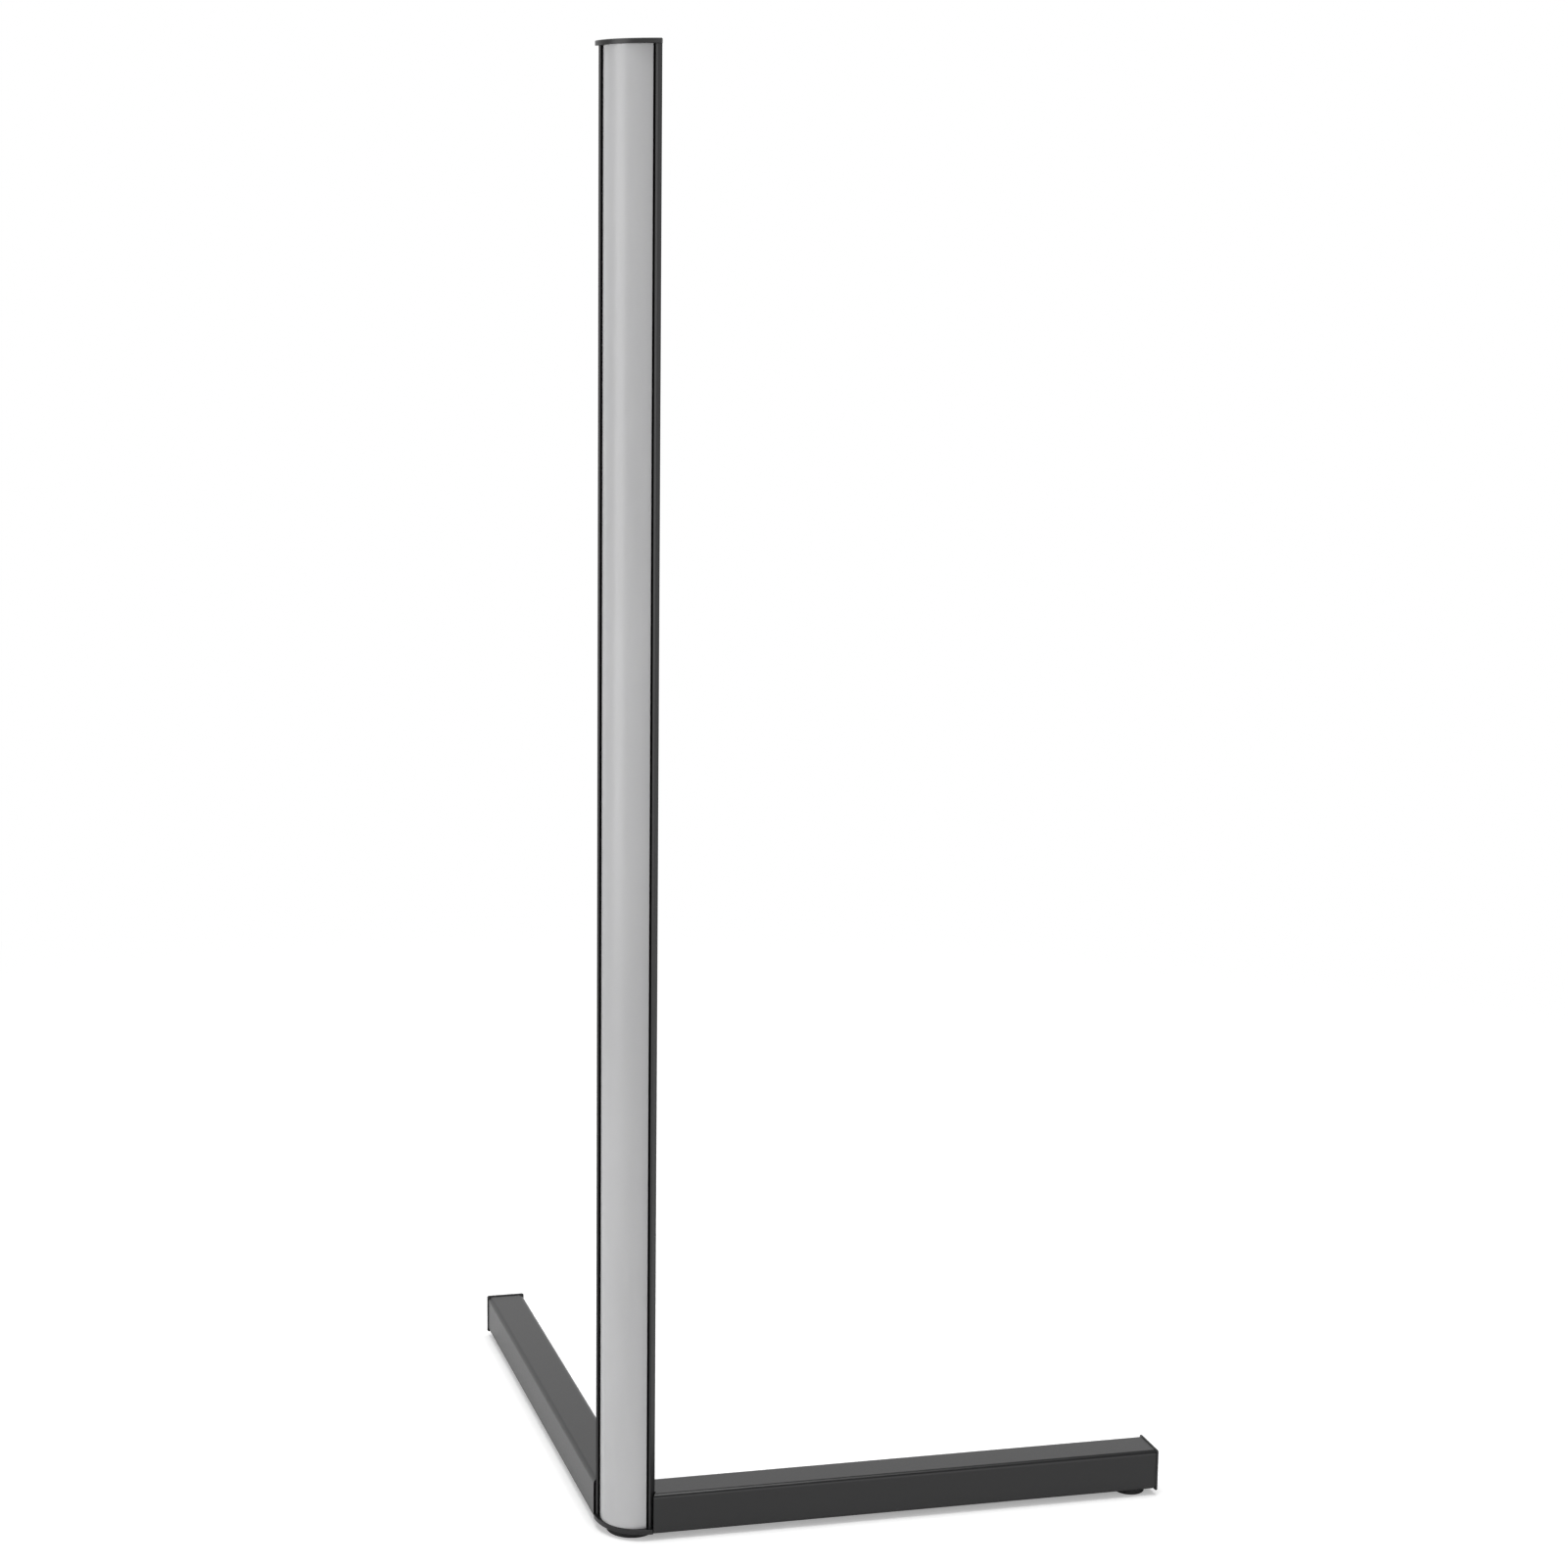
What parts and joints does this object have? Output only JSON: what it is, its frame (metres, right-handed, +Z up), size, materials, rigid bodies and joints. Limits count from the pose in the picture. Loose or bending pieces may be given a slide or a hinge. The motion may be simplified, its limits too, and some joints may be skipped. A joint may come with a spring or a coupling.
{
  "type": "corner floor lamp",
  "caption": "Corner floor lamp: upright aluminium post with a bulging opal diffuser, standing in the angle of square-tube legs on rubber feet.",
  "frame": {"origin": "on the floor, where the centre lines of the legs cross, under the post; it lies on the corner foot's lower face", "axes": "+X along the right leg, +Y along the left leg, +Z up; the diffuser faces out of the corner, halfway between -X and -Y"},
  "size_m": [0.5611, 0.5611, 1.4],
  "materials": {
    "post_coat": "black satin anodised",
    "plate_coat": "black satin powder coat",
    "leg_coat": "black satin powder coat",
    "opal_cover": "frosted opal",
    "dark_screw": "black oxide",
    "strip_film": "white coated film",
    "light_package": "phosphor in white resin",
    "inlet_plastic": "moulded",
    "plated_nut": "bright zinc plate",
    "red_lead": "extruded insulation",
    "black_lead": "extruded insulation",
    "cast_joint": "die cast, tumbled",
    "cap_plastic": "fine moulded grain",
    "foot_rubber": "moulded rubber"
  },
  "bodies": {
    "root": {"post_profile": "post_coat", "diffuser": "opal_cover", "top_cap": "plate_coat", "bottom_plate": "plate_coat", "top_cap_screws": "dark_screw", "bottom_plate_screws": "dark_screw", "light_strip": "strip_film", "light_packages": "light_package", "power_inlet": "inlet_plastic", "inlet_nut": "plated_nut", "supply_lead": "red_lead", "return_lead": "black_lead", "post_bolts": "dark_screw", "corner_joint": "cast_joint", "right_leg_tube": "leg_coat", "left_leg_tube": "leg_coat", "right_leg_screws": "dark_screw", "left_leg_screws": "dark_screw", "right_end_cap": "cap_plastic", "left_end_cap": "cap_plastic", "corner_foot": "foot_rubber", "right_foot": "foot_rubber", "left_foot": "foot_rubber", "corner_foot_screw": "dark_screw", "right_foot_screw": "dark_screw", "left_foot_screw": "dark_screw", "right_rivet_nut": "plated_nut", "left_rivet_nut": "plated_nut"}
  },
  "joints": []
}
